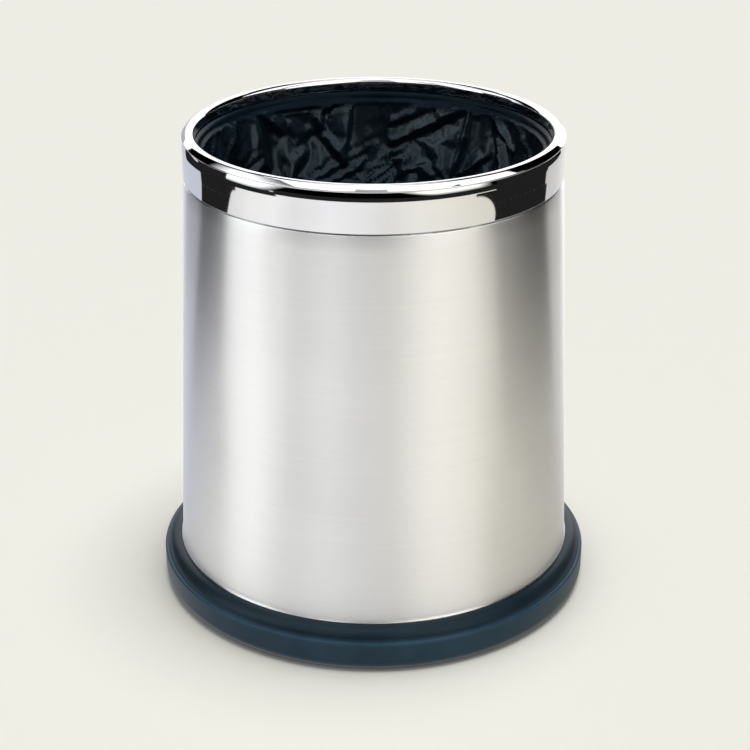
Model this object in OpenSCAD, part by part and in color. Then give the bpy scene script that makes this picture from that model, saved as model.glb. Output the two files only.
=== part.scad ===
// Round double-walled wastebasket: a brushed sheet shell on a moulded base skirt, an inner
// bucket that stands in it, a bag folded over the bucket's rim, and a polished ring that lifts
// off the top. Millimetres. The origin is on the floor under the centre, and +Z is up.

/* [Overall] */
// Height from the floor to the top of the cover ring
bin_h = 270; // [240:1:300]
// Outside radius of the shell at its top edge
shell_top_r = 104.4; // [98:0.1:112]
// Outside radius of the shell where it enters the base skirt
shell_foot_r = 113.8; // [112:0.1:120]
// Thickness of every rolled steel sheet
sheet_t = 0.8; // [0.6:0.1:0.8]

/* [Cover ring] */
// Height of the ring's outer band, from its lower edge to the crown
ring_h = 25.2; // [20:0.1:30]
// Width of the rolled crown
crown_w = 7; // [7:0.1:8]
// Radius that rolls the crown's inner side over its top
crown_roll = 3; // [2.8:0.1:3]
// How far the inner lip hangs below the middle of the crown's roll
lip_drop = 3.6; // [3.4:0.1:4.5]
// Depth of the neck rolled in under the crown
neck_depth = 1.1; // [0.6:0.1:1.1]
// Gap between the ring's lower edge and the shell's top edge
ring_gap = 0.8; // [0.2:0.1:1.2]

/* [Base skirt] */
// Height of the skirt's upper lip
skirt_h = 24.5; // [23:0.5:30]
// How far the upper shoulder stands out from the shell
shoulder_out = 8.8; // [8.5:0.1:9.6]
// How far the lower bumper stands out from the shell
bumper_out = 10.7; // [10.5:0.1:13]
// Radius that rolls the bumper under to the floor
bumper_roll = 7; // [4:0.1:7.2]
// Height of the recess under the skirt's inner flange
under_h = 5; // [4.6:0.1:6]
// Thickness of the skirt's inner flange
flange_t = 2.5; // [2:0.1:3]

/* [Bucket] */
// Inside radius of the bucket at its foot
bucket_foot_r = 86; // [78:0.5:88]
// Radius of the rolled bead around the bucket's rim
bead_r = 2.4; // [2.4:0.1:2.5]
// Radius of the wire inside the bead
wire_r = 1.5; // [1:0.1:1.5]
// Height of the bucket's floor above its foot
floor_rise = 6; // [4:0.5:10]

/* [Bag] */
// Thickness that stands in for the bag's film and its small folds
film_t = 0.5; // [0.3:0.1:0.5]
// How far the bag's cuff hangs down outside the bucket
cuff_h = 38; // [10:1:60]

/* [Fasteners] */
// Number of screws that hold the skirt to the base plate
screw_count = 4; // [3:1:8]
// Radius of the screw's shank
screw_r = 1.95; // [1.5:0.05:2]
// Radius of the screw's pan head
head_r = 4; // [3.5:0.1:4.5]
// Width of the hexagon nut across its flats
nut_flats = 7; // [6:0.1:7.5]

/* [Hidden] */
$fn = 96;

// Small gaps between pieces that touch or slide in the real object
fit = 0.05;
slide_gap = 0.3;
film_gap = 0.2;

// Cover ring: the crown's outer side slopes down at 45 degrees to a small outer edge
crown_c = [shell_top_r - crown_w + crown_roll, bin_h - crown_roll];
edge_roll = 1;
edge_in = shell_top_r - edge_roll;
edge_c = [edge_in, crown_c.y + crown_c.x - edge_in + (crown_roll - edge_roll) * sqrt(2)];
ring_z = bin_h - ring_h;
lip_z = crown_c.y - lip_drop;

// The band leans in to the neck along a large arc
cove_z = bin_h - 9.4;
cove_rise = edge_c.y - edge_roll - cove_z;
cove_turn = 2 * atan(neck_depth / cove_rise);
cove_r = cove_rise / sin(cove_turn);

// Shell: a cone, so its radius at a height follows from its two ends, with a swage at its foot
swage_out = 0.6;
swage_z = skirt_h + 0.3;
swage_h = 1.8;
shell_top_z = ring_z - ring_gap;
shell_slope = (shell_top_r - shell_foot_r) / (shell_top_z - skirt_h);
function shell_r(z) = shell_foot_r + (z - skirt_h) * shell_slope;

// Base: skirt flange, base plate on it, shell standing on the flange around the plate
plate_z = under_h + flange_t;
plate_top = plate_z + 1;
shell_z = plate_z + fit;
plate_lip_h = 10;
plate_lip_r = shell_r(plate_z + plate_lip_h) - sheet_t - fit;
flange_in_r = 90;
foot_in_r = shell_foot_r + 1.7;
grip_gap = 0.25;
lip_bevel = 0.9;
skirt_shoulder_r = shoulder_out - 0.8;
skirt_shoulder_c = [shell_foot_r + 0.8, skirt_h - skirt_shoulder_r];
step_turn = 12;
step_in = 0.4;
bumper_top = skirt_shoulder_c.y + 1.4;
bumper_out_r = shell_foot_r + bumper_out;
bumper_edge = 1.2;
screw_ring_r = 102;
hole_gap = 0.2;
washer_t = 0.8;
washer_margin = 0.6;
head_h = 2.4;
slot_l = 4.4;
slot_w = 0.8;
slot_depth = 1.2;
nut_h = 3.2;
screw_top = plate_top + nut_h + 1;

// Seam at the back of the shell
seam_w = 0.5;
seam_depth = 0.3;
strap_w = 18;

// Neck ring: welded inside the shell, and standing up inside the cover ring
neck_r = shell_top_r - sheet_t - neck_depth - slide_gap;
neck_top = crown_c.y + 0.5;
neck_weld_h = 18;
joggle_h = 3;

// Bucket: its bead sits just under the cover ring's lip
bead_inset = 2.4;
bead_drop = 3.8;
bead_c = [crown_c.x - bead_inset, lip_z - bead_drop];
bucket_z = plate_top + fit;
bucket_top_r = bead_c.x - bead_r;
function bucket_r(z) = bucket_foot_r
    + (bucket_top_r - bucket_foot_r) * (z - bucket_z) / (bead_c.y - bucket_z);
floor_z = bucket_z + floor_rise;
floor_lip_h = 5;
// The roll stops short of the wall, at this angle below its outer side
bead_curl = 140;

// Bag
bag_in = bead_r + film_gap;
bag_out = bag_in + film_t;
bag_z = floor_z + sheet_t + film_gap;
cuff_z = bead_c.y - cuff_h;
cuff_lean = 2;

steel = [0.78, 0.78, 0.76];
mirror_steel = [0.9, 0.9, 0.9];
zinc = [0.62, 0.65, 0.67];
moulding = [0.16, 0.2, 0.24];
film_black = [0.05, 0.06, 0.08];

// Points along an arc about c, from angle a to angle b
function arc(c, r, a, b, steps = 12) =
    [for (i = [0:steps]) let (t = a + (b - a) * i / steps) c + r * [cos(t), sin(t)]];

// A closed band between two outlines that run the same way
function band(outer, inner) = concat(outer, [for (i = [len(inner) - 1:-1:0]) inner[i]]);

// A polar row of copies around the screw circle
module around() {
    for (i = [0:screw_count - 1])
        rotate([0, 0, 45 + i * 360 / screw_count])
            translate([screw_ring_r, 0, 0])
                children();
}

// One face of the ring's section, inset by t from the outside
function ring_face(t) = concat(
    [[crown_c.x - crown_roll + t, lip_z]],
    arc(crown_c, crown_roll - t, 180, 45, 20),
    arc(edge_c, edge_roll - t, 45, -60, 4),
    arc([shell_top_r - cove_r, cove_z], cove_r - t, 0.9 * cove_turn, 0, 6),
    [[shell_top_r - t, ring_z]]
);

// Lift-off ring: rolled crown with a sloping outer side, neck, band and a short lip inside
module cover_ring() {
    color(mirror_steel)
        rotate_extrude()
            polygon(band(ring_face(0), ring_face(sheet_t)));
}

// Rolled conical shell with a swage above the skirt and a butt seam at the back
module outer_shell() {
    color(steel)
        difference() {
            rotate_extrude()
                polygon([
                    [shell_r(shell_z), shell_z],
                    [shell_r(swage_z), swage_z],
                    [shell_r(swage_z) + swage_out, swage_z + swage_h / 3],
                    [shell_r(swage_z + swage_h), swage_z + swage_h],
                    [shell_top_r, shell_top_z],
                    [shell_top_r - sheet_t, shell_top_z],
                    [shell_r(shell_z) - sheet_t, shell_z]
                ]);
            rotate([0, 0, 90 - seam_w / shell_foot_r * 90 / PI])
                rotate_extrude(angle = seam_w / shell_foot_r * 180 / PI)
                    polygon([
                        [shell_r(0) - seam_depth, 0],
                        [shell_r(bin_h) - seam_depth, bin_h],
                        [shell_r(bin_h) + 2, bin_h],
                        [shell_r(0) + 2, 0]
                    ]);
        }
}

// Strap welded behind the shell's seam
module seam_strap() {
    low = plate_z + plate_lip_h + 3;
    high = shell_top_z - neck_weld_h - 3;
    turn = strap_w / shell_foot_r * 180 / PI;
    color(steel)
        rotate([0, 0, 90 - turn / 2])
            rotate_extrude(angle = turn)
                polygon([
                    [shell_r(low) - sheet_t - fit, low],
                    [shell_r(high) - sheet_t - fit, high],
                    [shell_r(high) - 2 * sheet_t - fit, high],
                    [shell_r(low) - 2 * sheet_t - fit, low]
                ]);
}

// One face of the neck ring's section: against the shell, a joggle inward, then straight up
function neck_face(t) = [
    [shell_r(shell_top_z - neck_weld_h) - sheet_t - fit - t, shell_top_z - neck_weld_h],
    [shell_r(shell_top_z - joggle_h) - sheet_t - fit - t, shell_top_z - joggle_h],
    [neck_r - t, shell_top_z],
    [neck_r - t, neck_top]
];

// Neck that the cover ring slides over and that stiffens the shell's mouth
module neck_ring() {
    color(zinc)
        rotate_extrude()
            polygon(band(neck_face(0), neck_face(sheet_t)));
}

// Section of the skirt: lip, rounded shoulder, step, bumper, floor ring, recess and flange
function skirt_section() = concat(
    [[shell_foot_r + grip_gap, skirt_h - lip_bevel]],
    arc(skirt_shoulder_c, skirt_shoulder_r, 90, step_turn, 14),
    [[shell_foot_r + shoulder_out - step_in, bumper_top]],
    arc([bumper_out_r - bumper_edge, bumper_top - bumper_edge], bumper_edge, 90, 0, 6),
    arc([bumper_out_r - bumper_roll, bumper_roll], bumper_roll, 0, -90, 10),
    [
        [foot_in_r, 0],
        [foot_in_r, under_h],
        [flange_in_r, under_h],
        [flange_in_r, plate_z - fit],
        [shell_r(plate_z) + grip_gap, plate_z - fit]
    ]
);

// Moulded skirt: the bumper round the foot, with a flange under the base plate
module base_skirt() {
    color(moulding)
        difference() {
            rotate_extrude()
                polygon(skirt_section());
            around()
                cylinder(r = screw_r + hole_gap, h = plate_z + 1);
        }
}

// Pressed base plate: a disc with a lip turned up against the shell
module base_plate() {
    color(zinc)
        difference() {
            translate([0, 0, plate_z])
                cylinder(r = plate_lip_r, h = plate_lip_h);
            translate([0, 0, plate_top])
                cylinder(r = plate_lip_r - sheet_t, h = plate_lip_h);
            around()
                cylinder(r = screw_r + hole_gap, h = plate_top + 1);
        }
}

// Plain washers under the screw heads
module base_washers() {
    color(zinc)
        around()
            translate([0, 0, under_h - washer_t - fit])
                difference() {
                    cylinder(r = head_r + washer_margin, h = washer_t);
                    translate([0, 0, -1])
                        cylinder(r = screw_r + hole_gap, h = washer_t + 2);
                }
}

// Pan-head screws put in from below, each with a cross recess
module base_screws() {
    head_z = under_h - washer_t - 2 * fit - head_h;
    color(zinc)
        around()
            difference() {
                union() {
                    translate([0, 0, head_z])
                        cylinder(r = head_r, h = head_h);
                    translate([0, 0, head_z])
                        cylinder(r = screw_r, h = screw_top - head_z);
                }
                for (turn = [0, 90])
                    rotate([0, 0, turn])
                        translate([-slot_l / 2, -slot_w / 2, head_z - 1])
                            cube([slot_l, slot_w, 1 + slot_depth]);
            }
}

// Hexagon nuts on top of the base plate
module base_nuts() {
    color(zinc)
        around()
            translate([0, 0, plate_top + fit])
                difference() {
                    cylinder(r = nut_flats / sqrt(3), h = nut_h, $fn = 6);
                    translate([0, 0, -1])
                        cylinder(r = screw_r + fit, h = nut_h + 2);
                }
}

// One face of the bucket's section: up the wall, then round the open roll of the bead
function bucket_face(t) = concat(
    [[bucket_r(bucket_z) + t, bucket_z]],
    arc(bead_c, bead_r - t, 180, -bead_curl, 30)
);

// Tapered bucket with a bead rolled outward around its rim
module bucket_wall() {
    color(zinc)
        rotate_extrude()
            polygon(band(bucket_face(0), bucket_face(sheet_t)));
}

// Bucket floor: a disc with a lip turned down inside the wall
module bucket_floor() {
    low = floor_z - floor_lip_h;
    floor_r = bucket_r(low) - fit;
    color(zinc)
        difference() {
            translate([0, 0, low])
                cylinder(r = floor_r, h = floor_lip_h + sheet_t);
            translate([0, 0, low - 1])
                cylinder(r = floor_r - sheet_t, h = floor_lip_h + 1);
        }
}

// Wire rolled into the bead
module bucket_rim_wire() {
    color(zinc)
        rotate_extrude()
            translate(bead_c)
                circle(r = wire_r);
}

// One face of the bag: up inside the bucket, over its bead and down outside as a cuff
function bag_face(bead_off, wall_off, floor_height) = concat(
    [
        [0, floor_height],
        [bucket_r(floor_height) - wall_off, floor_height]
    ],
    arc(bead_c, bead_off, 180, 0, 20),
    [[bead_c.x + bead_off - cuff_lean, cuff_z]]
);

// Bag that lines the bucket, with its cuff folded over the rim
module bin_bag() {
    color(film_black)
        rotate_extrude()
            polygon(band(
                bag_face(bag_in, film_gap, bag_z),
                bag_face(bag_out, film_gap + film_t, bag_z + film_t)
            ));
}

cover_ring();
outer_shell();
seam_strap();
neck_ring();
base_skirt();
base_plate();
base_washers();
base_screws();
base_nuts();
bucket_wall();
bucket_floor();
bucket_rim_wire();
bin_bag();
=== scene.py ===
"""Round wastebasket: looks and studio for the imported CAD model. Metres, in the CAD's own frame."""

import math

import bmesh
import bpy
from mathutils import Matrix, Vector, noise


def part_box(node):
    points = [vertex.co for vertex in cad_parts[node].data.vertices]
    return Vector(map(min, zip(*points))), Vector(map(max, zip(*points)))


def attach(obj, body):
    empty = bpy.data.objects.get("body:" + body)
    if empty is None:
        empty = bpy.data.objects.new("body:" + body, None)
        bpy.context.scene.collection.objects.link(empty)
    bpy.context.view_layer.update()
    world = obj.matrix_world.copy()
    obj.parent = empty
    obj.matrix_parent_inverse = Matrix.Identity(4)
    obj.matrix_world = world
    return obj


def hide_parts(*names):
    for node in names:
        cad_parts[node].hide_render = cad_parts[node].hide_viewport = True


MM = 0.001
TURN = 2 * math.pi
SEGMENTS = 288
BACK = math.pi / 2  # the shell's seam is at the back, on +Y

NOISE_SEED = 1  # unseeded, noise_vector takes its offsets from the clock
SHEET = 0.8 * MM
CROWN_WIDTH = 7 * MM  # from the ring's outside to the inside of its lip
FLOOR_TONE = (0.858, 0.849, 0.782)

noise.seed_set(NOISE_SEED)
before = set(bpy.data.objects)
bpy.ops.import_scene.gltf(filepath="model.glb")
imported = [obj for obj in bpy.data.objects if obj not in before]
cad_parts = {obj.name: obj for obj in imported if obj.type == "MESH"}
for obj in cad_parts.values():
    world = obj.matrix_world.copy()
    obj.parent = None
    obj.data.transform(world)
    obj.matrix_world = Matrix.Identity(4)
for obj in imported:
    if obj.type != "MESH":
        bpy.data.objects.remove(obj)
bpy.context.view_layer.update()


# ---------------------------------------------------------------- sizes, read from the frame
def node_size(node):
    """(outer radius, lowest z, highest z) of a round CAD node."""
    low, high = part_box(node)
    return (high.x - low.x) / 2, low.z, high.z


ring_r, ring_low, ring_high = node_size("cover_ring")
shell_r_low, shell_low, shell_high = node_size("outer_shell")
skirt_r, floor_low, skirt_high = node_size("base_skirt")
bucket_bead_r, bucket_low, bucket_high = node_size("bucket_wall")
bag_r, bag_low, bag_high = node_size("bin_bag")


def shell_radius(z):
    """The shell is a cone from its foot up to the ring's radius."""
    return shell_r_low + (ring_r - shell_r_low) * (z - shell_low) / (shell_high - shell_low)


# ---------------------------------------------------------------- mesh helpers
def arc(cx, cz, r, start, end, steps):
    """Points (radius, z) along an arc, with angles in degrees."""
    return [
        (cx + r * math.cos(math.radians(a)), cz + r * math.sin(math.radians(a)))
        for a in (start + (end - start) * i / steps for i in range(steps + 1))
    ]


def smooth_by_angle(mesh, degrees=38):
    """Smooth faces, with edges sharper than that angle marked sharp."""
    limit = math.radians(degrees)
    work = bmesh.new()
    work.from_mesh(mesh)
    for face in work.faces:
        face.smooth = True
    for edge in work.edges:
        edge.smooth = len(edge.link_faces) == 2 and edge.calc_face_angle() < limit
    work.to_mesh(mesh)
    work.free()


def lathe(name, outline, dent=None, angles=None):
    """A closed outline of (radius, z) points turned about Z, with u around and v along it."""
    angles = angles or [TURN * i / SEGMENTS for i in range(SEGMENTS)]
    along = [0.0]
    for a, b in zip(outline, outline[1:] + outline[:1]):
        along.append(along[-1] + math.dist(a, b))
    work = bmesh.new()
    uv = work.loops.layers.uv.new("turned")
    rows = []
    for angle in angles:
        cut = dent(angle) if dent else 0.0
        row = []
        for r, z in outline:
            r_here = r - cut if cut and dent_side(r, z) else r
            row.append(
                work.verts.new(
                    (r_here * math.cos(angle + BACK), r_here * math.sin(angle + BACK), z)
                )
            )
        rows.append(row)
    count, points = len(rows), len(outline)
    for i in range(count):
        here, there = rows[i], rows[(i + 1) % count]
        u = (angles[i] / TURN, angles[i + 1] / TURN if i + 1 < count else 1.0)
        for k in range(points):
            n = (k + 1) % points
            face = work.faces.new((here[k], there[k], there[n], here[n]))
            for loop, (s, t) in zip(face.loops, ((0, 0), (1, 0), (1, 1), (0, 1))):
                loop[uv].uv = (u[s], along[k + t])
    bmesh.ops.recalc_face_normals(work, faces=work.faces)
    mesh = bpy.data.meshes.new(name)
    work.to_mesh(mesh)
    work.free()
    smooth_by_angle(mesh)
    piece = bpy.data.objects.new(name, mesh)
    bpy.context.scene.collection.objects.link(piece)
    return piece


def dent_side(r, z):
    """The outer face of the shell, where the seam's groove is."""
    return r > shell_radius(z) - SHEET / 2


def stand_for(piece, node, body, material):
    piece.data.materials.clear()
    piece.data.materials.append(material)
    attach(piece, body)
    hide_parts(node)
    return piece


# ---------------------------------------------------------------- material helpers
def new_material(name):
    material = bpy.data.materials.new(name)
    material.use_nodes = True
    tree = material.node_tree
    tree.nodes.clear()
    out = tree.nodes.new("ShaderNodeOutputMaterial")
    bsdf = tree.nodes.new("ShaderNodeBsdfPrincipled")
    tree.links.new(bsdf.outputs["BSDF"], out.inputs["Surface"])
    return material, tree, bsdf


def node(tree, kind, **values):
    """A shader node, with its properties set by name."""
    made = tree.nodes.new(kind)
    for key, value in values.items():
        setattr(made, key, value)
    return made


def link(tree, a, b):
    tree.links.new(a, b)


def ramp(tree, source, stops):
    """A colour ramp of grey levels or colours, at the given stops."""
    made = tree.nodes.new("ShaderNodeValToRGB")
    elements = made.color_ramp.elements
    while len(elements) < len(stops):
        elements.new(0.5)
    for element, (at, value) in zip(elements, stops):
        element.position = at
        element.color = (value, value, value, 1) if isinstance(value, float) else (*value, 1)
    link(tree, source, made.inputs["Fac"])
    return made.outputs["Color"]


def remap(tree, source, low, high):
    made = node(tree, "ShaderNodeMapRange")
    made.inputs["To Min"].default_value = low
    made.inputs["To Max"].default_value = high
    link(tree, source, made.inputs["Value"])
    return made.outputs["Result"]


def scaled(tree, source, scale):
    made = node(tree, "ShaderNodeMapping")
    made.inputs["Scale"].default_value = scale
    link(tree, source, made.inputs["Vector"])
    return made.outputs["Vector"]


def height_share(tree, place, low, high):
    """How far up a place is between two heights, from 0 to 1."""
    split = node(tree, "ShaderNodeSeparateXYZ")
    link(tree, place, split.inputs["Vector"])
    made = node(tree, "ShaderNodeMapRange")
    made.inputs["From Min"].default_value = low
    made.inputs["From Max"].default_value = high
    link(tree, split.outputs["Z"], made.inputs["Value"])
    return made.outputs["Result"]


def multiplied(tree, first, second):
    """Two colours multiplied. The second is an output or a fixed colour."""
    made = node(tree, "ShaderNodeMix", data_type="RGBA", blend_type="MULTIPLY")
    made.inputs["Factor"].default_value = 1.0
    link(tree, first, made.inputs[6])
    if isinstance(second, tuple):
        made.inputs[7].default_value = (*second, 1)
    else:
        link(tree, second, made.inputs[7])
    return made.outputs[2]


def noise_of(tree, vector, scale, detail=4.0, roughness=0.55):
    made = node(tree, "ShaderNodeTexNoise")
    made.inputs["Scale"].default_value = scale
    made.inputs["Detail"].default_value = detail
    made.inputs["Roughness"].default_value = roughness
    link(tree, vector, made.inputs["Vector"])
    return made.outputs["Fac"]


def bump(tree, bsdf, height, strength, distance, normal=None):
    made = node(tree, "ShaderNodeBump")
    made.inputs["Strength"].default_value = strength
    made.inputs["Distance"].default_value = distance
    link(tree, height, made.inputs["Height"])
    if normal:
        link(tree, normal, made.inputs["Normal"])
    link(tree, made.outputs["Normal"], bsdf.inputs["Normal"])
    return made.outputs["Normal"]


# ---------------------------------------------------------------- materials
def polished_steel():
    """Mirror-polished stainless: nearly sharp, with faint waviness and buffing haze."""
    material, tree, bsdf = new_material("polished_steel")
    place = node(tree, "ShaderNodeTexCoord").outputs["Object"]
    haze = noise_of(tree, scaled(tree, place, (30, 30, 60)), 1.0)
    link(tree, ramp(tree, haze, [(0.3, (0.71, 0.712, 0.725)), (0.75, (0.75, 0.75, 0.755))]),
         bsdf.inputs["Base Color"])
    bsdf.inputs["Metallic"].default_value = 1.0
    link(tree, remap(tree, haze, 0.025, 0.07), bsdf.inputs["Roughness"])
    wave = noise_of(tree, scaled(tree, place, (9, 9, 14)), 1.0, 1.0)
    bump(tree, bsdf, wave, 0.25, 0.6 * MM)
    return material


def brushed_steel():
    """Stainless brushed around the shell: fine rings, streaks of tone, a stretched highlight."""
    material, tree, bsdf = new_material("brushed_steel")
    turned = node(tree, "ShaderNodeUVMap", uv_map="turned").outputs["UV"]
    fine = noise_of(tree, scaled(tree, turned, (7, 5200, 1)), 1.0, 3.0, 0.7)
    streak = noise_of(tree, scaled(tree, turned, (4, 420, 1)), 1.0, 4.0, 0.65)
    patch = noise_of(tree, scaled(tree, turned, (5, 16, 1)), 1.0, 3.0)
    tone = node(tree, "ShaderNodeMix", data_type="FLOAT")
    tone.inputs["Factor"].default_value = 0.5
    link(tree, fine, tone.inputs[2])
    link(tree, streak, tone.inputs[3])
    grey = ramp(tree, tone.outputs[0], [(0.32, (0.93, 0.925, 0.92)), (0.68, (0.99, 0.985, 0.98))])
    link(tree, grey, bsdf.inputs["Base Color"])
    bsdf.inputs["Metallic"].default_value = 1.0
    link(tree, remap(tree, patch, 0.29, 0.40), bsdf.inputs["Roughness"])
    bsdf.inputs["Anisotropic"].default_value = 0.96
    bsdf.inputs["Anisotropic Rotation"].default_value = 0.25
    tangent = node(tree, "ShaderNodeTangent", direction_type="RADIAL", axis="Z")
    link(tree, tangent.outputs["Tangent"], bsdf.inputs["Tangent"])
    bump(tree, bsdf, fine, 0.35, 0.03 * MM)
    return material


# How light the skirt's skin is at a share of its height, light and shade painted by height: a little
# darker at the foot, a painted highlight along the bumper's top edge and painted shade over the
# shoulder
SKIRT_PAINTED_LIGHT = [
    (0.0, 0.85), (0.35, 1.15), (0.64, 1.15), (0.70, 1.55), (0.74, 1.4), (0.80, 0.47), (1.0, 0.42),
]


def black_moulding():
    """Blue-black flexible moulding with a satin skin and fine grain, with light and shade painted by
    height: a highlight along the bumper's top edge and shade over the shoulder.
    """
    material, tree, bsdf = new_material("black_moulding")
    place = node(tree, "ShaderNodeTexCoord").outputs["Object"]
    cloud = noise_of(tree, place, 45.0, 5.0)
    skin = ramp(tree, cloud, [(0.3, (0.012, 0.029, 0.048)), (0.75, (0.020, 0.044, 0.070))])
    # painted light by height: a highlight on the bumper's top edge, shade over the shoulder, a
    # darker foot
    painted_light = ramp(tree, height_share(tree, place, 0.0, skirt_high), SKIRT_PAINTED_LIGHT)
    link(tree, multiplied(tree, skin, painted_light), bsdf.inputs["Base Color"])
    link(tree, remap(tree, cloud, 0.32, 0.45), bsdf.inputs["Roughness"])
    bsdf.inputs["Specular IOR Level"].default_value = 0.25
    bsdf.inputs["Specular Tint"].default_value = (0.62, 0.88, 1.0, 1)
    grain = noise_of(tree, place, 1900.0, 3.0)
    bump(tree, bsdf, grain, 0.18, 0.08 * MM)
    return material


def bag_film():
    """Thin glossy black polythene, with creases finer than the mesh."""
    material, tree, bsdf = new_material("bag_film")
    place = node(tree, "ShaderNodeTexCoord").outputs["Object"]
    cloud = noise_of(tree, place, 30.0)
    link(tree, ramp(tree, cloud, [(0.3, (0.002, 0.006, 0.011)), (0.8, (0.005, 0.013, 0.022))]),
         bsdf.inputs["Base Color"])
    link(tree, remap(tree, cloud, 0.19, 0.32), bsdf.inputs["Roughness"])
    height = height_share(tree, place, bag_high - 60 * MM, bag_high)
    gloss = ramp(tree, height, [(0.0, 0.20), (0.45, 0.30), (0.84, 0.34), (0.90, 0.05)])
    link(tree, gloss, bsdf.inputs["Specular IOR Level"])
    bsdf.inputs["Specular Tint"].default_value = (0.72, 0.90, 1.0, 1)
    crease = node(tree, "ShaderNodeTexVoronoi", feature="F1")
    crease.inputs["Scale"].default_value = 70.0
    link(tree, scaled(tree, place, (1, 1, 0.6)), crease.inputs["Vector"])
    first = bump(tree, bsdf, crease.outputs["Distance"], 0.15, 1.2 * MM)
    ripple = noise_of(tree, scaled(tree, place, (1, 1, 0.5)), 190.0, 3.0)
    bump(tree, bsdf, ripple, 0.3, 0.5 * MM, first)
    return material


def zinc_steel():
    """Galvanised sheet: a fine spangle of grey crystals."""
    material, tree, bsdf = new_material("zinc_steel")
    place = node(tree, "ShaderNodeTexCoord").outputs["Object"]
    spangle = node(tree, "ShaderNodeTexVoronoi", feature="F1")
    spangle.inputs["Scale"].default_value = 130.0
    link(tree, place, spangle.inputs["Vector"])
    split = node(tree, "ShaderNodeSeparateColor")
    link(tree, spangle.outputs["Color"], split.inputs["Color"])
    grey = ramp(tree, split.outputs["Red"], [(0.0, (0.42, 0.44, 0.46)), (1.0, (0.60, 0.62, 0.63))])
    link(tree, grey, bsdf.inputs["Base Color"])
    bsdf.inputs["Metallic"].default_value = 1.0
    link(tree, remap(tree, split.outputs["Green"], 0.32, 0.5), bsdf.inputs["Roughness"])
    dull = noise_of(tree, place, 260.0)
    bump(tree, bsdf, dull, 0.2, 0.1 * MM)
    return material


def plain_steel():
    """Plain rolled steel with drawn streaks along it."""
    material, tree, bsdf = new_material("plain_steel")
    place = node(tree, "ShaderNodeTexCoord").outputs["Object"]
    streak = noise_of(tree, scaled(tree, place, (400, 400, 12)), 1.0)
    link(tree, ramp(tree, streak, [(0.3, (0.46, 0.455, 0.45)), (0.75, (0.62, 0.615, 0.61))]),
         bsdf.inputs["Base Color"])
    bsdf.inputs["Metallic"].default_value = 1.0
    link(tree, remap(tree, streak, 0.3, 0.45), bsdf.inputs["Roughness"])
    bump(tree, bsdf, streak, 0.2, 0.04 * MM)
    return material


def zinc_hardware():
    """Bright zinc plate on the screws, washers and nuts."""
    material, tree, bsdf = new_material("zinc_hardware")
    place = node(tree, "ShaderNodeTexCoord").outputs["Object"]
    plate = noise_of(tree, place, 600.0)
    link(tree, ramp(tree, plate, [(0.3, (0.55, 0.57, 0.60)), (0.8, (0.72, 0.73, 0.72))]),
         bsdf.inputs["Base Color"])
    bsdf.inputs["Metallic"].default_value = 1.0
    link(tree, remap(tree, plate, 0.2, 0.34), bsdf.inputs["Roughness"])
    bump(tree, bsdf, plate, 0.15, 0.04 * MM)
    return material


def floor_paint():
    """Plain pale floor."""
    material, _, bsdf = new_material("studio_floor")
    bsdf.inputs["Base Color"].default_value = (*FLOOR_TONE, 1)
    bsdf.inputs["Roughness"].default_value = 1.0
    bsdf.inputs["Specular IOR Level"].default_value = 0.0
    return material


# ---------------------------------------------------------------- rigid pieces
def make_cover_ring():
    """Rolled crown with a sloping outer side, cove, straight band, inner lip and hemmed edges."""
    top_roll, edge_roll = 3.0 * MM, 0.6 * MM
    cx, cz = ring_r - CROWN_WIDTH + top_roll, ring_high - top_roll
    edge_x = ring_r - edge_roll
    edge_z = cz - (edge_x - cx) + (top_roll - edge_roll) * math.sqrt(2)
    neck, cove_z = 1.1 * MM, ring_high - 9.35 * MM
    rise = edge_z - edge_roll - cove_z
    turn = 2 * math.atan(neck / rise)
    cove = rise / math.sin(turn)
    lip_z = ring_high - 6.6 * MM
    hem = SHEET / 2

    def face(t):
        """From the lip over the crown to the band, at a depth t in the sheet."""
        return [
            *arc(cx, cz, top_roll - t, 180, 45, 40),
            *arc(edge_x, edge_z, max(edge_roll - t, 0.02 * MM), 45, -75, 14),
            *arc(ring_r - cove, cove_z, cove - t, math.degrees(turn) * 0.96, 0, 20),
        ]

    outline = [
        *arc(ring_r - CROWN_WIDTH + hem, lip_z + hem, hem, 270, 180, 6),
        *face(0),
        *arc(ring_r - hem, ring_low + hem, hem, 0, -180, 12),
        *reversed(face(SHEET)),
        *arc(ring_r - CROWN_WIDTH + hem, lip_z + hem, hem, 0, -90, 6),
    ]
    return lathe("ring_polished", tidy(outline))


def tidy(outline):
    """The outline without points closer together than a hair."""
    kept = []
    for point in outline:
        if not kept or math.dist(point, kept[-1]) > 1e-6:
            kept.append(point)
    if math.dist(kept[0], kept[-1]) < 1e-6:
        kept.pop()
    return kept


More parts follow.
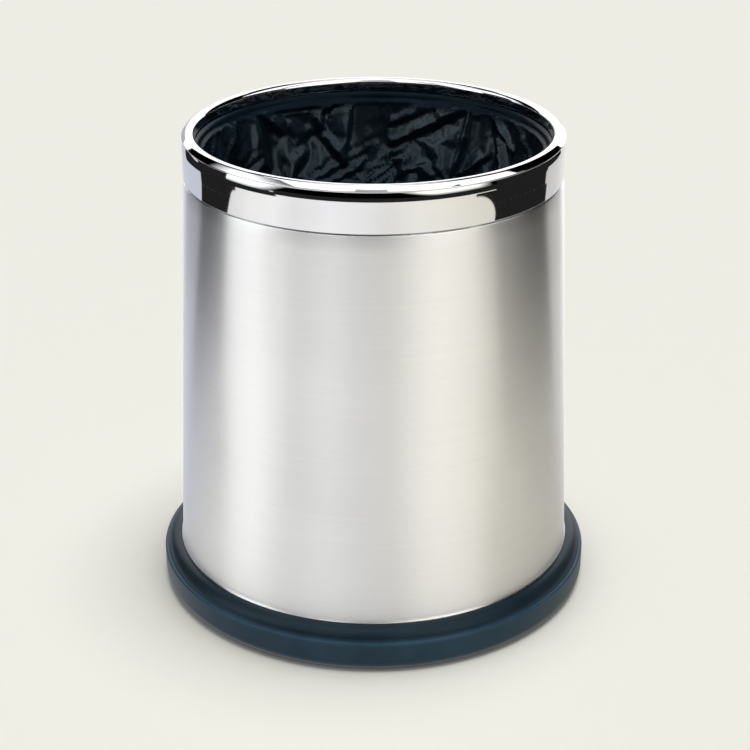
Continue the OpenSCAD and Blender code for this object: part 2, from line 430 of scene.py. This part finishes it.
def make_shell():
    """Rolled cone with rounded edges, a swage just above the skirt, and a butt seam at the back."""
    edge = SHEET / 2
    rows, flare_rows = 24, 8
    flare_low, flare_high, flare_out = skirt_high + 0.3 * MM, skirt_high + 2.1 * MM, 0.6 * MM

    def straight(low, high, count):
        return [low + (high - low) * i / count for i in range(count + 1)]

    def flared(z):
        return shell_radius(z) + flare_out * ((flare_high - z) / (flare_high - flare_low)) ** 2

    above = straight(flare_high, shell_high - edge, rows)
    outer = [(shell_radius(z), z) for z in straight(shell_low + edge, flare_low - 0.25 * MM, 4)]
    outer += [(flared(z), z) for z in straight(flare_low, flare_high, flare_rows)[:-1]]
    outer += [(shell_radius(z), z) for z in above]
    inner = [(shell_radius(z) - SHEET, z) for z in reversed([shell_low + edge, *above])]
    top = arc(shell_radius(shell_high) - edge, shell_high - edge, edge, 0, 180, 8)[1:-1]
    bottom = arc(shell_radius(shell_low) - edge, shell_low + edge, edge, 180, 360, 8)[1:-1]
    half, depth = 0.25 * MM / shell_r_low, 0.3 * MM  # half the seam's width, as an angle
    angles = [0.0, half * 0.7, half]
    angles += [TURN * i / SEGMENTS for i in range(1, SEGMENTS)]
    angles += [TURN - half, TURN - half * 0.7]

    def dent(angle):
        off = min(angle, TURN - angle)
        return depth if off < half * 0.8 else 0.0

    return lathe("shell_brushed", outer + top + inner + bottom, dent, angles)


def make_skirt():
    """Moulded skirt: bevelled lip, round shoulder, step, bumper, foot and screwed flange."""
    foot_r = shell_radius(skirt_high)
    shoulder_r = 8.0 * MM
    shoulder_x, shoulder_z = foot_r + 0.8 * MM, skirt_high - shoulder_r
    bumper_top, fillet = shoulder_z + 1.4 * MM, 0.35 * MM
    edge, roll = 1.2 * MM, 7.0 * MM
    gap = 0.25 * MM  # between the skirt and the shell
    plate_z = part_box("base_plate")[0].z - 0.05 * MM
    flange_r, flange_z = 90 * MM, 5 * MM
    foot_in, foot_edge, flange_edge = foot_r + 1.7 * MM, 0.6 * MM, 0.8 * MM
    hole_count, hole_r, hole_ring, hole_depth = 4, 2.15 * MM, 102 * MM, 12 * MM
    outline = [
        (foot_r + gap, skirt_high - 0.9 * MM),
        (foot_r + 0.45 * MM, skirt_high - 0.3 * MM),
        *arc(shoulder_x, shoulder_z, shoulder_r, 90, 14, 26),
        *arc(foot_r + 8.9 * MM, bumper_top + fillet, fillet, 194, 270, 5),
        *arc(skirt_r - edge, bumper_top - edge, edge, 90, 0, 10),
        *arc(skirt_r - roll, roll, roll, 0, -90, 18),
        *arc(foot_in + foot_edge, foot_edge, foot_edge, 270, 180, 4),
        *arc(foot_in - flange_edge, flange_z - flange_edge, flange_edge, 0, 90, 4),
        *arc(flange_r + foot_edge, flange_z + foot_edge, foot_edge, 270, 180, 4),
        (flange_r, plate_z),
        (shell_radius(plate_z) + gap, plate_z),
    ]
    skirt = lathe("skirt_moulded", tidy(outline))
    for i in range(hole_count):
        angle = math.radians(45 + 90 * i)
        bpy.ops.mesh.primitive_cylinder_add(
            vertices=32, radius=hole_r, depth=hole_depth,
            location=(hole_ring * math.cos(angle), hole_ring * math.sin(angle), hole_depth / 2),
        )
        cutter = bpy.context.object
        hole = skirt.modifiers.new("hole", "BOOLEAN")
        hole.operation, hole.solver, hole.object = "DIFFERENCE", "EXACT", cutter
        apply_modifiers(skirt)
        bpy.data.objects.remove(cutter)
    smooth_by_angle(skirt.data)
    return skirt


def apply_modifiers(piece):
    """The piece's modifiers become its mesh."""
    bpy.context.view_layer.update()
    depsgraph = bpy.context.evaluated_depsgraph_get()
    mesh = bpy.data.meshes.new_from_object(piece.evaluated_get(depsgraph))
    piece.modifiers.clear()
    piece.data = mesh


# ---------------------------------------------------------------- the bag
BAG_FILM = 0.15 * MM
BAG_CUFF = 38 * MM
BAG_AROUND = 320
BAG_ROW, BAG_FINE_ROW, BAG_FINE_DEPTH = 4.5 * MM, 1.6 * MM, 62 * MM
BAG_SLACK, BAG_SLACK_FROM, BAG_SLACK_OVER = 0.10, 35, 45  # share, mm below the rim, over mm
BAG_FRAMES = 14
BAG_QUALITY = 4
BAG_BEND = 3.0
FOLD_MM = 1.66  # mm around the mouth for each degree


def bucket_inside(z):
    """Inside radius of the bucket's wall at a height."""
    foot_r, mouth_r, mouth_z = 86 * MM, bucket_bead_r - 4.8 * MM, bucket_high - 2.4 * MM
    return foot_r + (mouth_r - foot_r) * (z - bucket_low) / (mouth_z - bucket_low)


def bag_outline():
    """The bag's section before it settles: floor, wall, over the bead, and down as a cuff.

    Returns it with the index of the row held on the rim."""
    low = bag_low + 0.3 * MM
    bead_in, bead, bead_steps, cuff_rows = 3.1 * MM, 2.85 * MM, 12, 10
    bead_x, bead_z = bag_r - bead_in, bag_high - bead_in
    foot_r, top_r = bucket_inside(low) - 1.2 * MM, bead_x - bead
    cuff_in = 2 * MM  # how much the cuff narrows towards its edge
    across = round(foot_r / BAG_ROW)
    heights = [low]
    while heights[-1] < bead_z:
        fine = heights[-1] > bead_z - BAG_FINE_DEPTH
        heights.append(heights[-1] + (BAG_FINE_ROW if fine else BAG_ROW))
    heights = [z for z in heights if z < bead_z - BAG_FINE_ROW / 2]
    outline = [(foot_r * (i + 0.4) / (across + 0.4), low) for i in range(across)]
    outline += [(foot_r + (top_r - foot_r) * (z - low) / (bead_z - low), z) for z in heights]
    held = len(outline)
    outline += arc(bead_x, bead_z, bead, 180, 0, bead_steps)
    outline += [
        (bead_x + bead - cuff_in * i / cuff_rows, bead_z - BAG_CUFF * i / cuff_rows)
        for i in range(1, cuff_rows + 1)
    ]
    return outline, held


# Big folds at the back of the mouth: degrees right of the back and mm below the rim at both ends,
# then the height, and the widths of the flanks above and below the crest
BAG_FOLDS = [
    (36, 2, 6, 28, 5.5, 7.5, 3.0), (29, 1, 6, 16, 3.5, 4.5, 2.0),
    (38, 3, 34, 40, 3.0, 3.0, 3.0), (-9, 0, -21, 8, 4.0, 4.0, 2.5),
    (-21, 8, -21, 18, 4.5, 4.0, 3.0), (-21, 18, -12, 38, 4.0, 4.0, 3.0),
    (-18, 3, -42, 3, 2.5, 3.5, 2.0), (-46, 2, -37, 16, 3.5, 8.0, 2.5),
    (48, 4, 62, 20, 3.0, 4.0, 2.0), (58, 2, 70, 12, 2.5, 3.0, 2.0),
    (66, 10, 80, 24, 3.0, 4.0, 2.0), (52, 16, 60, 34, 3.0, 4.0, 2.5),
    (-58, 4, -66, 20, 3.0, 4.0, 2.0), (-70, 3, -80, 14, 2.5, 3.0, 2.0),
    (-62, 14, -74, 30, 3.0, 4.0, 2.0), (-100, 2, -120, 30, 4.0, 5.0, 3.0),
    (96, 3, 118, 34, 4.0, 6.0, 3.0), (-140, 2, -160, 26, 4.0, 5.0, 3.0),
    (150, 3, 128, 30, 4.0, 6.0, 3.0), (172, 4, 178, 30, 3.5, 4.0, 3.0),
]


def fold_height(right, down):
    """Height of the big folds at so many degrees right of the back and mm below the rim."""
    tallest = 0.0
    for start_a, start_z, end_a, end_z, height, above, below in BAG_FOLDS:
        along = Vector(((end_a - start_a) * FOLD_MM, end_z - start_z))
        place = Vector(((right - start_a) * FOLD_MM, down - start_z))
        at = place.dot(along) / along.length_squared
        if not -0.3 < at < 1.3:  # well past an end
            continue
        nearest = min(1.0, max(0.0, at))
        off = place - along * nearest
        width = above if at == nearest and off.y < 0 else below
        swell = 0.6 + 0.4 * math.sin(math.pi * nearest)  # full in the middle, lower at the ends
        tallest = max(tallest, height * (1 - off.length / width) * swell)
    return tallest


def crumple(angle, z, down):
    """How far the film starts out from the wall: wide facets, the big folds, and small creases."""
    at = Vector((math.cos(angle) * 2.1, math.sin(angle) * 2.1, z * 17))
    bent = at + 0.35 * noise.noise_vector(at * 0.9)
    near, second = noise.voronoi(bent, distance_metric="DISTANCE")[0][:2]
    fine = noise.voronoi(bent * 2.3 + Vector((7, 3, 1)), distance_metric="DISTANCE")[0][:2]
    right = (math.degrees(BACK - angle) + 180) % 360 - 180
    side = min(1.0, max(0.1, (abs(right) - 38) / 20))
    deep = min(1.0, max(0.0, (down - 45) / 60))
    facets = (2.5 + 8 * deep) * (second - near)
    facets += (0.6 + 2.6 * max(0.6 * side, deep)) * (fine[1] - fine[0])
    pull = 1 - abs(noise.noise(Vector((right * 0.11 + down * 0.09, down * 0.05, 4.0))))
    start = min(1.0, down / 12)
    return ((facets + 0.9 * pull ** 6) * start + fold_height(right, down) * min(1.0, down / 3)) * MM


def make_bag():
    outline, held = bag_outline()
    top = outline[held][1]
    work = bmesh.new()
    rows = []
    for i in range(BAG_AROUND):
        angle = TURN * i / BAG_AROUND
        row = []
        for k, (r, z) in enumerate(outline):
            if k < held and z > outline[0][1]:
                down = (top - z) / MM
                r -= crumple(angle, z, down) + 0.3 * MM * min(1, down)
            row.append(work.verts.new((r * math.cos(angle), r * math.sin(angle), z)))
        rows.append(row)
    for i in range(BAG_AROUND):
        here, there = rows[i], rows[(i + 1) % BAG_AROUND]
        for k in range(len(outline) - 1):
            a, b, c, d = here[k], there[k], there[k + 1], here[k + 1]
            if (i + k) % 2:
                work.faces.new((a, b, c))
                work.faces.new((a, c, d))
            else:
                work.faces.new((a, b, d))
                work.faces.new((b, c, d))
    centre = work.verts.new((0, 0, outline[0][1]))
    for i in range(BAG_AROUND):
        work.faces.new((rows[i][0], centre, rows[(i + 1) % BAG_AROUND][0]))
    bmesh.ops.recalc_face_normals(work, faces=work.faces)
    mesh = bpy.data.meshes.new("bag_crumpled")
    work.to_mesh(mesh)
    work.free()
    piece = bpy.data.objects.new("bag_crumpled", mesh)
    bpy.context.scene.collection.objects.link(piece)
    pinned = piece.vertex_groups.new(name="held")
    taut = piece.vertex_groups.new(name="taut")
    per_row = len(outline)
    for vertex in mesh.vertices:
        k = vertex.index % per_row if vertex.index < per_row * BAG_AROUND else 0
        pinned.add([vertex.index], 1.0 if k >= held - 1 else 0.0, "REPLACE")
        slack = min(1.0, max(0.0, (top - vertex.co.z) / MM - BAG_SLACK_FROM) / BAG_SLACK_OVER)
        taut.add([vertex.index], 1.0 if k >= held else 1.0 - slack, "REPLACE")
    settle(piece)
    thick = piece.modifiers.new("film", "SOLIDIFY")
    thick.thickness, thick.offset = BAG_FILM, 0
    apply_modifiers(piece)
    for polygon in piece.data.polygons:
        polygon.use_smooth = True
    return piece


def settle(piece):
    """The film has more cloth than the wall has room for, so it folds and rests in the bucket."""
    clear, guard_in, guard_out, guard_sides = 0.4 * MM, 2 * MM, 110 * MM, 64
    guard_low = bag_low - 10 * MM
    wall = [(bucket_inside(z) - clear, z) for z in (bag_low, bag_high - 6 * MM)]
    guard = lathe(
        "bag_guard",
        [
            (guard_in, bag_low), *wall, (guard_out, wall[1][1]),
            (guard_out, guard_low), (guard_in, guard_low),
        ],
        angles=[TURN * i / guard_sides for i in range(guard_sides)],
    )
    guard.modifiers.new("collision", "COLLISION")
    guard.collision.thickness_outer = 0.3 * MM
    guard.collision.thickness_inner = 4 * MM
    guard.collision.cloth_friction = 8
    cloth = piece.modifiers.new("cloth", "CLOTH")
    film = cloth.settings
    film.quality = BAG_QUALITY
    film.mass = 0.05
    film.tension_stiffness = film.compression_stiffness = 30
    film.shear_stiffness = 20
    film.bending_stiffness = BAG_BEND
    film.tension_damping = film.compression_damping = film.shear_damping = 12
    film.bending_damping = 0.6
    film.air_damping = 4
    film.vertex_group_mass = "held"
    film.pin_stiffness = 5
    film.vertex_group_shrink = "taut"
    film.shrink_min, film.shrink_max = -BAG_SLACK, 0.0
    hits = cloth.collision_settings
    hits.use_collision = True
    hits.distance_min = 0.8 * MM
    hits.collision_quality = 2
    hits.use_self_collision = False
    scene = bpy.context.scene
    scene.frame_start, scene.frame_end = 1, BAG_FRAMES
    cloth.point_cache.frame_start, cloth.point_cache.frame_end = 1, BAG_FRAMES
    for frame_number in range(1, BAG_FRAMES + 1):
        scene.frame_set(frame_number)
    apply_modifiers(piece)
    bpy.data.objects.remove(guard)
    scene.frame_set(1)
    for vertex in piece.data.vertices:
        x, y, z = vertex.co
        r = math.hypot(x, y)
        z = max(z, bag_low + 0.1 * MM)
        if r < bag_r - 6 * MM or z < bag_low + 60 * MM:  # not the cuff, outside the bucket
            room = bucket_inside(z) - clear
            if r > room:
                x, y = x * room / r, y * room / r
        vertex.co = (x, y, z)


# ---------------------------------------------------------------- studio
STUDIO_Z = 0.2  # the height that elevations are measured from
FLAG_R = 0.45


def emitter(name, strength, tone=(1, 1, 1), soft=0.0):
    """A panel's material: it gives light, and fades at the edges over a soft share of its size."""
    material = bpy.data.materials.new(name)
    material.use_nodes = True
    tree = material.node_tree
    tree.nodes.clear()
    out = tree.nodes.new("ShaderNodeOutputMaterial")
    glow = tree.nodes.new("ShaderNodeEmission")
    glow.inputs["Color"].default_value = (*tone, 1)
    glow.inputs["Strength"].default_value = strength
    tree.links.new(glow.outputs["Emission"], out.inputs["Surface"])
    if soft:
        split = node(tree, "ShaderNodeSeparateXYZ")
        flat_map = node(tree, "ShaderNodeUVMap", uv_map="panel")
        link(tree, flat_map.outputs["UV"], split.inputs["Vector"])
        stops = [(0.0, 0.02), (soft, 1.0), (1 - soft, 1.0), (1.0, 0.02)]
        across, up = (ramp(tree, split.outputs[axis], stops) for axis in "XY")
        fade = multiplied(tree, across, up)
        link(tree, multiplied(tree, fade, tone), glow.inputs["Color"])
    return material


def place_round(azimuth, elevation, radius):
    """A place in the studio, degrees right of the camera and above STUDIO_Z, over the floor."""
    a, e = math.radians(azimuth), math.radians(elevation)
    flat = radius * math.cos(e)
    z = max(floor_low + MM, STUDIO_Z + radius * math.sin(e))
    return flat * math.sin(a), -flat * math.cos(a), z


def hang(name, mesh, material):
    """A mesh put up in the studio, where only reflections see it."""
    mesh.materials.append(material)
    made = bpy.data.objects.new(name, mesh)
    bpy.context.scene.collection.objects.link(made)
    only_in_reflections(made)


def panel(name, material, azimuths, elevations, radius, lean=(0, 0)):
    """A curved studio panel between two azimuths, 0 at the camera and plus to its right.

    Its sides lean by so many degrees of azimuth towards the top."""
    step, row = 4, 8  # degrees
    steps = max(3, round(abs(azimuths[1] - azimuths[0]) / step))
    rows = max(1, round(abs(elevations[1] - elevations[0]) / row))
    verts, faces, places = [], [], []
    for i in range(steps + 1):
        for k in range(rows + 1):
            u, v = i / steps, k / rows
            start, end = azimuths[0] + lean[0] * v, azimuths[1] + lean[1] * v
            elevation = elevations[0] + (elevations[1] - elevations[0]) * v
            places.append((u, v))
            verts.append(place_round(start + (end - start) * u, elevation, radius))
            if i and k:
                n = len(verts) - 1
                faces.append((n, n - 1, n - rows - 2, n - rows - 1))
    mesh = bpy.data.meshes.new(name)
    mesh.from_pydata(verts, [], faces)
    flat_map = mesh.uv_layers.new(name="panel")
    for loop in mesh.loops:
        flat_map.data[loop.index].uv = places[loop.vertex_index]
    hang(name, mesh, material)


def corner(name, material, azimuth, elevations, across, down):
    """A piece beside a flag that rounds the corner under the low wall.

    It is so many degrees across between two elevations. Below them its side curves in."""
    steps = 10
    top, low = elevations
    verts = [place_round(azimuth, top, FLAG_R), place_round(azimuth + across, top, FLAG_R)]
    for i in range(steps + 1):
        turn = BACK * i / steps
        off, drop = across * (1 - math.sin(turn)), down * (1 - math.cos(turn))
        verts.append(place_round(azimuth + off, low - drop, FLAG_R))
    mesh = bpy.data.meshes.new(name)
    mesh.from_pydata(verts, [], [(0, i, i + 1) for i in range(1, steps + 2)])
    hang(name, mesh, material)


# What polished and brushed steel see of the floor: azimuth, level, warmth
FLOOR_GLOW = [
    (-180, 0.88, -0.06), (-150, 0.76, -0.18), (-122, 0.8, -0.18), (-106, 0.9, -0.08),
    (-90, 1.05, 0.0), (-74, 1.27, 0.02), (-58, 1.35, 0.02), (-44, 1.18, 0.01),
    (-24, 1.3, 0.0), (0, 1.18, 0.02), (8, 1.13, 0.06), (24, 1.24, 0.09),
    (40, 1.2, 0.12), (52, 1.13, 0.14), (66, 1.06, 0.15), (82, 0.94, 0.15),
    (108, 0.82, 0.12), (130, 0.86, 0.04), (150, 1.02, 0.02), (180, 0.88, -0.06),
]
# How the floor dims towards the bin: metres from the middle, share of the level
FLOOR_FALL = [(0.12, 0.56), (0.21, 0.70), (0.31, 0.82), (0.45, 0.88), (0.62, 0.88)]


def glow_floor():
    """A sheet over the floor that only reflections see, lighter and darker around the bin."""
    bpy.ops.mesh.primitive_circle_add(vertices=180, radius=4.0, fill_type="NGON",
                                      location=(0, 0, floor_low + 0.4 * MM))
    sheet = bpy.context.object
    sheet.name = "floor_glow"
    sheet.rotation_euler = (0, 0, -BACK)
    material = emitter("floor_glow", 1.0)
    tree = material.node_tree
    place = node(tree, "ShaderNodeTexCoord").outputs["Object"]
    around = node(tree, "ShaderNodeTexGradient", gradient_type="RADIAL")
    link(tree, place, around.inputs["Vector"])
    stops = [
        ((azimuth + 180) / 360, (level, level * (1 - warmth / 5), level * (1 - warmth)))
        for azimuth, level, warmth in FLOOR_GLOW
    ]
    glow = next(n for n in tree.nodes if n.type == "EMISSION")
    link(tree, ramp(tree, around.outputs["Fac"], stops), glow.inputs["Color"])
    out_from = node(tree, "ShaderNodeVectorMath", operation="LENGTH")
    link(tree, place, out_from.inputs[0])
    fall = ramp(tree, out_from.outputs["Value"], FLOOR_FALL)
    link(tree, fall, glow.inputs["Strength"])
    sheet.data.materials.append(material)
    only_in_reflections(sheet)


def only_in_reflections(piece):
    piece.visible_camera = False
    piece.visible_diffuse = False
    piece.visible_shadow = False
    piece.visible_transmission = False
    piece.visible_volume_scatter = False


def make_studio():
    scene = bpy.context.scene
    bpy.ops.mesh.primitive_circle_add(vertices=96, radius=14, fill_type="NGON",
                                      location=(0, 0, floor_low))
    ground = bpy.context.object
    ground.name = "studio_floor"
    ground.data.materials.append(floor_paint())

    world = bpy.data.worlds.new("studio")
    world.use_nodes = True
    background = world.node_tree.nodes["Background"]
    background.inputs["Color"].default_value = (1, 1, 1, 1)
    background.inputs["Strength"].default_value = 0.46
    scene.world = world
    world.cycles_visibility.glossy = False
    scene.view_settings.view_transform = "Standard"

    lamp = bpy.data.lights.new("overhead_soft", "SUN")
    lamp.energy = 1.70
    lamp.angle = math.radians(31)
    overhead = bpy.data.objects.new("overhead_soft", lamp)
    overhead.rotation_euler = Vector((0.09, 0.03, 1.0)).to_track_quat("Z", "Y").to_euler()
    scene.collection.objects.link(overhead)
    overhead.visible_glossy = False

    black = emitter("card_black", 0.018)
    grey = emitter("card_grey", 0.55, (0.97, 1.0, 1.0))
    white = emitter("card_white", 1.7)
    cool = emitter("card_cool", 1.9, (0.97, 0.99, 1.0), 0.2)
    warm = emitter("card_warm", 1.8, (1.0, 0.99, 0.93), 0.2)
    glow_floor()
    panel("overhead", white, (-116, 104), (28, 90), 1.7)
    panel("overhead_gap", grey, (-17, 13), (28, 67), 1.6)
    panel("overhead_back", white, (140, 220), (62, 90), 1.7)
    panel("soft_left", cool, (-118, -62), (-5, 56), 1.6, (0, 30))
    panel("soft_right", warm, (32, 70), (5, 56), 1.6, (-50, 0))
    panel("back_wall", white, (141, 184), (-8, 50), 1.8)
    panel("back_wall_left", white, (184, 222), (8, 50), 1.8)
    panel("back_wall_left_low", grey, (184, 222), (-8, 8), 1.8)
    panel("low_wall_left", black, (-141, -55), (-14, 0), 0.95)
    panel("low_wall", black, (-57, 141), (-8, 6), 1.45)
    panel("flag_left", black, (-112, -84), (-10.5, 30), FLAG_R)
    panel("flag_left_low", black, (-116, -90), (-17, -10.5), FLAG_R, (4, 6))
    panel("flag_left_foot", black, (-120, -108), (-20, -17), FLAG_R, (4, 16))
    panel("flag_right", black, (67, 112), (-10.5, 30), FLAG_R)
    panel("flag_right_low", black, (69, 114), (-17, -10.5), FLAG_R)
    panel("flag_right_foot", black, (94, 114), (-20, -17), FLAG_R, (-20, 0))
    corner("flag_left_corner", black, -84, (-3, -8.3), 5, 3.0)
    corner("flag_right_corner", black, 69, (-3, -7.4), -14, 7.0)


def make_camera():
    """At the photograph's angle: level with no roll, pitched down, with a long lens."""
    distance, height, pitch = 0.950, 0.552, 24.40
    lens_data = bpy.data.cameras.new("camera")
    lens_data.sensor_width = 36
    lens_data.lens = 86.6
    lens_data.clip_start, lens_data.clip_end = 0.05, 60
    camera = bpy.data.objects.new("camera", lens_data)
    camera.location = (0.0008, -distance, height)
    camera.rotation_euler = (math.radians(90 - pitch), 0, 0)
    bpy.context.scene.collection.objects.link(camera)
    bpy.context.scene.camera = camera


# ---------------------------------------------------------------- put together
make_camera()
zinc, bare, hardware = zinc_steel(), plain_steel(), zinc_hardware()
for name, material in {
    "neck_ring": zinc, "base_plate": zinc, "bucket_wall": zinc, "bucket_floor": zinc,
    "seam_strap": bare, "bucket_rim_wire": bare,
    "base_washers": hardware, "base_screws": hardware, "base_nuts": hardware,
}.items():
    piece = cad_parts[name]
    piece.data.materials.clear()
    piece.data.materials.append(material)

stand_for(make_cover_ring(), "cover_ring", "ring", polished_steel())
stand_for(make_shell(), "outer_shell", "base", brushed_steel())
stand_for(make_skirt(), "base_skirt", "base", black_moulding())
bag = stand_for(make_bag(), "bin_bag", "bucket", bag_film())
make_studio()
